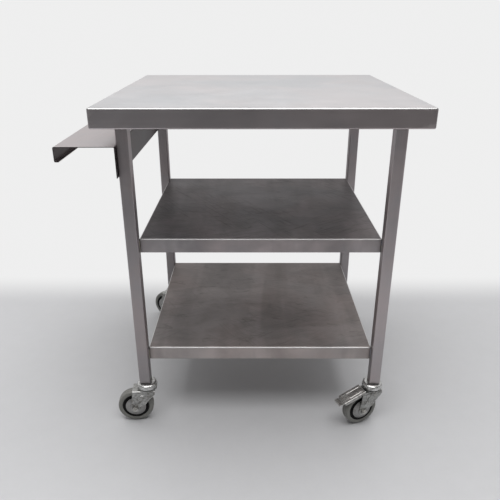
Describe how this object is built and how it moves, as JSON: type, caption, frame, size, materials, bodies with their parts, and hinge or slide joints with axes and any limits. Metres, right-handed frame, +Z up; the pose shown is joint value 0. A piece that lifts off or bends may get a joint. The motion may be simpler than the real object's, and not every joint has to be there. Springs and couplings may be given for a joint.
{
  "type": "service trolley",
  "caption": "Folded-sheet service trolley with a worktop, open lower shelves, square tube legs, an outboard side shelf and swivel castors, some with a foot brake.",
  "frame": {"origin": "on the floor, under the middle of the overall footprint, side shelf included", "axes": "+Z up, +X to the right as seen from the front, front edge of the worktop towards -Y; the side shelf is on the -X side"},
  "size_m": [0.8626, 0.73, 0.9],
  "materials": {
    "stainless": "brushed stainless sheet and tube, used",
    "weld": "dressed stainless weld",
    "zinc": "bright zinc-plated pressed steel",
    "fastener": "zinc-plated steel fastener",
    "bearing_steel": "polished hardened steel",
    "rim_black": "black moulded polypropylene",
    "tyre_grey": "grey non-marking rubber",
    "brake_block": "moulded rubber friction block",
    "spring_steel": "oiled spring steel"
  },
  "bodies": {
    "frame": {"top_sheet": "stainless", "leg_front_left": "stainless", "leg_front_right": "stainless", "leg_rear_left": "stainless", "leg_rear_right": "stainless", "top_rail_front": "stainless", "top_rail_rear": "stainless", "top_rail_left": "stainless", "top_rail_right": "stainless", "top_stiffener_left": "stainless", "top_stiffener_right": "stainless", "mid_shelf": "stainless", "mid_shelf_stiffener": "stainless", "lower_shelf": "stainless", "lower_shelf_stiffener": "stainless", "shelf_welds": "weld", "side_shelf": "stainless", "side_shelf_welds": "weld", "leg_foot_plugs": "stainless", "leg_foot_washers": "fastener", "king_bolts": "fastener", "swivel_balls": "bearing_steel", "swivel_head_front_left": "zinc", "swivel_head_front_right": "zinc", "swivel_head_rear_left": "zinc", "swivel_head_rear_right": "zinc"},
    "castor_front_left": {"fork_front_left": "zinc", "axle_bolt_front_left": "fastener", "axle_sleeve_front_left": "bearing_steel", "thread_guards_front_left": "zinc"},
    "wheel_front_left": {"wheel_core_front_left": "rim_black", "tyre_front_left": "tyre_grey"},
    "castor_front_right": {"fork_front_right": "zinc", "axle_bolt_front_right": "fastener", "axle_sleeve_front_right": "bearing_steel", "thread_guards_front_right": "zinc", "brake_pin_front_right": "fastener", "brake_springs_front_right": "spring_steel"},
    "wheel_front_right": {"wheel_core_front_right": "rim_black", "tyre_front_right": "tyre_grey"},
    "brake_front_right": {"brake_pedal_front_right": "zinc", "brake_shoe_front_right": "brake_block"},
    "castor_rear_left": {"fork_rear_left": "zinc", "axle_bolt_rear_left": "fastener", "axle_sleeve_rear_left": "bearing_steel", "thread_guards_rear_left": "zinc"},
    "wheel_rear_left": {"wheel_core_rear_left": "rim_black", "tyre_rear_left": "tyre_grey"},
    "castor_rear_right": {"fork_rear_right": "zinc", "axle_bolt_rear_right": "fastener", "axle_sleeve_rear_right": "bearing_steel", "thread_guards_rear_right": "zinc", "brake_pin_rear_right": "fastener", "brake_springs_rear_right": "spring_steel"},
    "wheel_rear_right": {"wheel_core_rear_right": "rim_black", "tyre_rear_right": "tyre_grey"},
    "brake_rear_right": {"brake_pedal_rear_right": "zinc", "brake_shoe_rear_right": "brake_block"}
  },
  "joints": [
    {"name": "swivel_front_left", "type": "hinge", "parent": "frame", "child": "castor_front_left", "pos_m": [-0.26925, -0.287, 0.1117], "axis": [0, 0, 1], "continuous": true},
    {"name": "wheel_spin_front_left", "type": "hinge", "parent": "castor_front_left", "child": "wheel_front_left", "pos_m": [-0.30559, -0.28916, 0.05], "axis": [0.0593, -0.9982, 0], "continuous": true},
    {"name": "swivel_front_right", "type": "hinge", "parent": "frame", "child": "castor_front_right", "pos_m": [0.37175, -0.287, 0.1117], "axis": [0, 0, 1], "continuous": true},
    {"name": "wheel_spin_front_right", "type": "hinge", "parent": "castor_front_right", "child": "wheel_front_right", "pos_m": [0.33817, -0.30105, 0.05], "axis": [0.3859, -0.9225, 0], "continuous": true},
    {"name": "brake_press_front_right", "type": "hinge", "parent": "castor_front_right", "child": "brake_front_right", "pos_m": [0.37037, -0.28758, 0.097], "axis": [0.3859, -0.9225, 0], "range_deg": [0, 5.5], "stiffness_Nm_per_rad": 0.6, "springref_deg": -11.46},
    {"name": "swivel_rear_left", "type": "hinge", "parent": "frame", "child": "castor_rear_left", "pos_m": [-0.26925, 0.287, 0.1117], "axis": [0, 0, 1], "continuous": true},
    {"name": "wheel_spin_rear_left", "type": "hinge", "parent": "castor_rear_left", "child": "wheel_rear_left", "pos_m": [-0.30151, 0.30386, 0.05], "axis": [-0.4633, -0.8862, 0], "continuous": true},
    {"name": "swivel_rear_right", "type": "hinge", "parent": "frame", "child": "castor_rear_right", "pos_m": [0.37175, 0.287, 0.1117], "axis": [0, 0, 1], "continuous": true},
    {"name": "wheel_spin_rear_right", "type": "hinge", "parent": "castor_rear_right", "child": "wheel_rear_right", "pos_m": [0.33713, 0.27575, 0.05], "axis": [0.309, -0.9511, 0], "continuous": true},
    {"name": "brake_press_rear_right", "type": "hinge", "parent": "castor_rear_right", "child": "brake_rear_right", "pos_m": [0.37032, 0.28654, 0.097], "axis": [0.309, -0.9511, 0], "range_deg": [0, 5.5], "stiffness_Nm_per_rad": 0.6, "springref_deg": -11.46}
  ]
}
